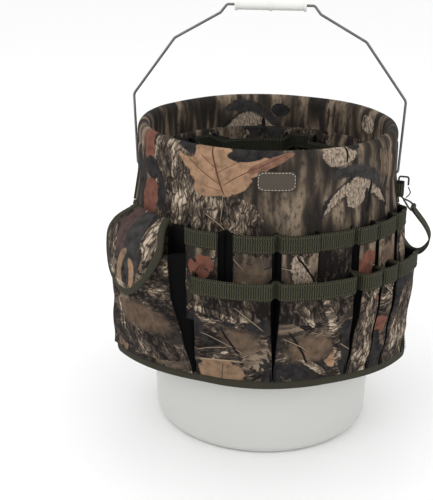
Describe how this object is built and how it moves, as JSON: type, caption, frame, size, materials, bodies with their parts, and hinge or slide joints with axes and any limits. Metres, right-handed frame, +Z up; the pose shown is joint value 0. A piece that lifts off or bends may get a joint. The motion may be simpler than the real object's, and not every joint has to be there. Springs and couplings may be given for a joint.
{
  "type": "tool bucket organizer",
  "caption": "Pail with a swinging wire bail, dressed in a sewn camouflage cover with rows of tool pockets, a flap pocket and a snap-hook tape strap.",
  "frame": {"origin": "centre of the pail's flat base, on the floor", "axes": "+Z up; +X towards the ear beside the tape strap; -Y is the front, with the label and the flap pocket to its left"},
  "size_m": [0.3822, 0.3796, 0.5173],
  "materials": {
    "pail_plastic": "moulded satin",
    "grip_plastic": "moulded satin",
    "bail_wire": "drawn, dull zinc",
    "camo_cloth": "woodland print, woven polyester",
    "lining_cloth": "dark woven lining",
    "webbing": "ribbed webbing",
    "edge_tape": "folded edge tape",
    "label_cloth": "woven label, blank",
    "hook_and_loop": "hook and loop",
    "black_wire": "black-coated wire"
  },
  "bodies": {
    "organizer": {"pail": "pail_plastic", "rim_cover": "camo_cloth", "slit_tape": "edge_tape", "blank_label": "label_cloth", "front_panel": "camo_cloth", "front_panel_tape": "edge_tape", "back_panel": "camo_cloth", "back_panel_tape": "edge_tape", "front_upper_pocket_1": "camo_cloth", "front_upper_pocket_2": "camo_cloth", "front_upper_pocket_3": "camo_cloth", "front_upper_pocket_4": "camo_cloth", "front_upper_pocket_5": "camo_cloth", "front_upper_pocket_6": "camo_cloth", "front_upper_pocket_7": "camo_cloth", "front_lower_pocket_1": "camo_cloth", "front_lower_pocket_2": "camo_cloth", "front_lower_pocket_3": "camo_cloth", "front_lower_pocket_4": "camo_cloth", "front_lower_pocket_5": "camo_cloth", "front_upper_webbing": "webbing", "front_lower_webbing": "webbing", "back_upper_pocket_1": "camo_cloth", "back_upper_pocket_2": "camo_cloth", "back_upper_pocket_3": "camo_cloth", "back_upper_pocket_4": "camo_cloth", "back_upper_pocket_5": "camo_cloth", "back_lower_pocket_1": "camo_cloth", "back_lower_pocket_2": "camo_cloth", "back_lower_pocket_3": "camo_cloth", "back_lower_pocket_4": "camo_cloth", "back_upper_webbing": "webbing", "back_lower_webbing": "webbing", "flap_pocket": "camo_cloth", "loop_patch": "hook_and_loop", "liner": "lining_cloth", "inner_pocket_1": "lining_cloth", "inner_pocket_2": "lining_cloth", "inner_pocket_3": "lining_cloth", "inner_pocket_4": "lining_cloth", "inner_pocket_5": "lining_cloth", "inner_pocket_6": "lining_cloth", "inner_webbing": "webbing", "tape_strap": "webbing", "hanger_loop": "webbing"},
    "bail": {"bail": "bail_wire"},
    "grip": {"grip": "grip_plastic"},
    "flap": {"flap": "camo_cloth", "flap_tape": "edge_tape", "hook_patch": "hook_and_loop"},
    "hook": {"snap_hook": "black_wire"},
    "gate": {"hook_gate": "black_wire"}
  },
  "joints": [
    {"name": "bail_swing", "type": "hinge", "parent": "organizer", "child": "bail", "pos_m": [0, 0, 0.318], "axis": [1, 0, 0], "range_deg": [-95, 70]},
    {"name": "grip_spin", "type": "hinge", "parent": "bail", "child": "grip", "pos_m": [0, 0, 0.5105], "axis": [1, 0, 0], "continuous": true},
    {"name": "flap_lift", "type": "hinge", "parent": "organizer", "child": "flap", "pos_m": [-0.12188, -0.10974, 0.294], "axis": [-0.6691, 0.7431, 0], "range_deg": [0, 105]},
    {"name": "hook_swing", "type": "hinge", "parent": "organizer", "child": "hook", "pos_m": [0.1752, -0.03089, 0.2843], "axis": [0.1736, 0.9848, 0], "range_deg": [-1.5, 1.5]},
    {"name": "gate_press", "type": "hinge", "parent": "hook", "child": "gate", "pos_m": [0.16663, -0.02938, 0.2963], "axis": [-0.1736, -0.9848, 0], "range_deg": [0, 12], "stiffness_Nm_per_rad": 0.01}
  ]
}
